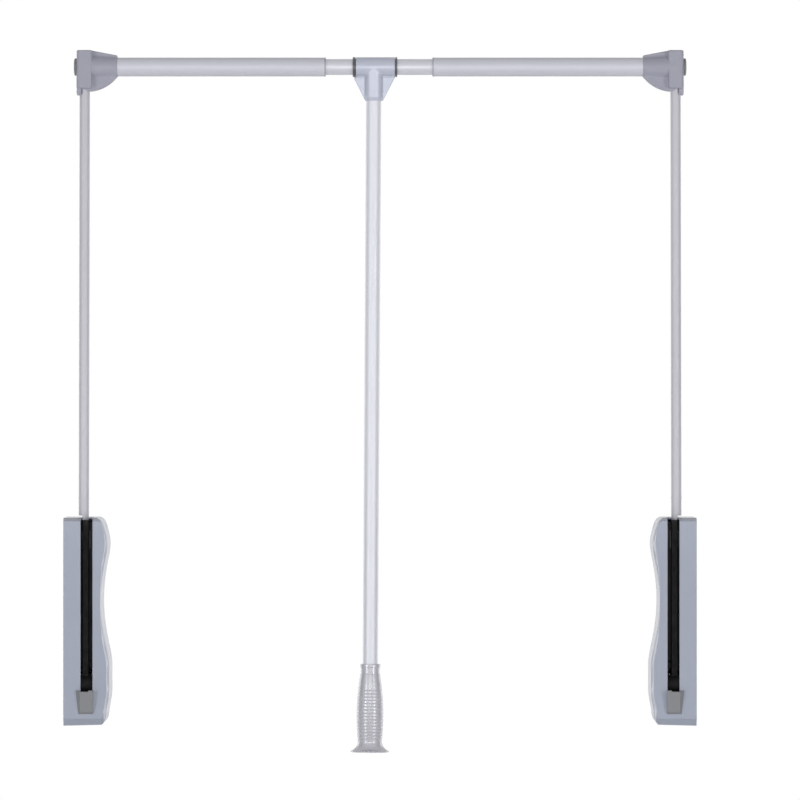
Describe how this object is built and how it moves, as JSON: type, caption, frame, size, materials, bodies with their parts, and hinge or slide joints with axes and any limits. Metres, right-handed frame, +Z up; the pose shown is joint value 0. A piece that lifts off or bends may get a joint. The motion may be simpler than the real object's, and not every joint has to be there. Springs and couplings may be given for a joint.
{
  "type": "pull-down closet rod",
  "caption": "Wardrobe lift with two spring housings, swinging arms, a telescopic hanging rail and a pull rod with a ribbed grip.",
  "frame": {"origin": "centre of the left base plate's four wall-screw holes, on the face that lies on the left cabinet wall", "axes": "+X from the left cabinet wall to the right one, -Y out of the cabinet towards the user, +Z up"},
  "size_m": [0.792, 0.139, 0.8843],
  "materials": {
    "zinc_plated_steel": "zinc plated, satin",
    "cover_plastic": "silver grey moulded ABS, satin",
    "screw_steel": "zinc plated",
    "turned_steel": "turned, bright",
    "landing_block_plastic": "mid grey, matt",
    "nylon": "natural nylon",
    "grey_nylon": "grey nylon",
    "black_plastic": "black, matt",
    "black_rubber": "black, matt",
    "spring_steel": "oil tempered wire",
    "black_lacquered_steel": "black lacquer",
    "black_lever": "black powder coat, satin",
    "black_gear_steel": "sintered, oiled",
    "black_casting": "black die casting",
    "arm_metal": "satin anodised",
    "rail_metal": "satin anodised",
    "inner_tube_metal": "bright anodised",
    "rod_metal": "satin anodised",
    "corner_plastic": "silver grey moulded, satin gloss",
    "cap_plastic": "dark grey",
    "tee_plastic": "silver moulded, glossy",
    "grip_plastic": "silver lacquered, glossy"
  },
  "bodies": {
    "left_housing": {"left_base_plate": "zinc_plated_steel", "left_cover": "cover_plastic", "left_cover_screws": "screw_steel", "left_standoffs": "turned_steel", "left_landing_block": "landing_block_plastic", "left_pivot_axle": "turned_steel", "left_cheek_plate": "zinc_plated_steel", "left_rack_guide": "nylon", "left_upper_bracket": "zinc_plated_steel", "left_spring_guard": "black_plastic", "left_rest_bumper": "black_rubber", "left_lift_spring": "spring_steel", "left_damper_body": "black_lacquered_steel"},
    "left_frame": {"left_arm_lever": "black_lever", "left_hub_bush": "nylon", "left_drive_pinion": "black_gear_steel", "left_arm_tube": "arm_metal", "left_arm_pin": "turned_steel", "left_corner_bracket": "corner_plastic", "left_corner_cap": "cap_plastic", "left_corner_screws": "screw_steel", "left_outer_tube": "rail_metal", "left_tube_sleeve": "grey_nylon"},
    "left_rack": {"left_drive_rack": "black_gear_steel", "left_crosshead": "black_casting", "left_damper_rod": "turned_steel"},
    "inner_rail": {"inner_tube": "inner_tube_metal", "stop_rings": "black_rubber"},
    "pull_rod_set": {"tee_body": "tee_plastic", "tee_liner": "nylon", "pull_rod": "rod_metal", "rod_screw": "screw_steel", "grip": "grip_plastic", "grip_plug": "cap_plastic"},
    "right_housing": {"right_base_plate": "zinc_plated_steel", "right_cover": "cover_plastic", "right_cover_screws": "screw_steel", "right_standoffs": "turned_steel", "right_landing_block": "landing_block_plastic", "right_pivot_axle": "turned_steel", "right_cheek_plate": "zinc_plated_steel", "right_rack_guide": "nylon", "right_upper_bracket": "zinc_plated_steel", "right_spring_guard": "black_plastic", "right_rest_bumper": "black_rubber", "right_lift_spring": "spring_steel", "right_damper_body": "black_lacquered_steel"},
    "right_frame": {"right_arm_lever": "black_lever", "right_hub_bush": "nylon", "right_drive_pinion": "black_gear_steel", "right_arm_tube": "arm_metal", "right_arm_pin": "turned_steel", "right_corner_bracket": "corner_plastic", "right_corner_cap": "cap_plastic", "right_corner_screws": "screw_steel", "right_outer_tube": "rail_metal", "right_tube_sleeve": "grey_nylon"},
    "right_rack": {"right_drive_rack": "black_gear_steel", "right_crosshead": "black_casting", "right_damper_rod": "turned_steel"}
  },
  "joints": [
    {"name": "arm_swing", "type": "hinge", "parent": "left_housing", "child": "left_frame", "pos_m": [0.0264, -0.025, -0.08035], "axis": [1, 0, 0], "range_deg": [0, 93], "stiffness_Nm_per_rad": 9.5, "springref_deg": -69.33},
    {"name": "left_rack_slide", "type": "slide", "parent": "left_housing", "child": "left_rack", "axis": [0, 0, 1], "range_m": [0, 0.0326], "deforming": ["left_lift_spring"]},
    {"name": "width_adjust", "type": "slide", "parent": "left_housing", "child": "right_housing", "axis": [1, 0, 0], "range_m": [-0.06, 0.3]},
    {"name": "right_arm_swing", "type": "hinge", "parent": "right_housing", "child": "right_frame", "pos_m": [0.7656, -0.025, -0.08035], "axis": [1, 0, 0], "range_deg": [0, 93]},
    {"name": "right_rack_slide", "type": "slide", "parent": "right_housing", "child": "right_rack", "axis": [0, 0, 1], "range_m": [0, 0.0326], "deforming": ["right_lift_spring"]},
    {"name": "inner_tube_slide", "type": "slide", "parent": "left_frame", "child": "inner_rail", "axis": [1, 0, 0], "range_m": [-0.03, 0.15]},
    {"name": "pull_rod_swivel", "type": "hinge", "parent": "inner_rail", "child": "pull_rod_set", "pos_m": [0.3879, 0.01575, 0.69708], "axis": [1, 0, 0], "continuous": true}
  ],
  "couplings": [
    {"joint": "right_arm_swing", "follows": "arm_swing", "ratio": 1},
    {"joint": "left_rack_slide", "follows": "arm_swing", "m_per_rad": 0.02},
    {"joint": "right_rack_slide", "follows": "arm_swing", "m_per_rad": 0.02},
    {"joint": "inner_tube_slide", "follows": "width_adjust", "ratio": 0.5}
  ]
}
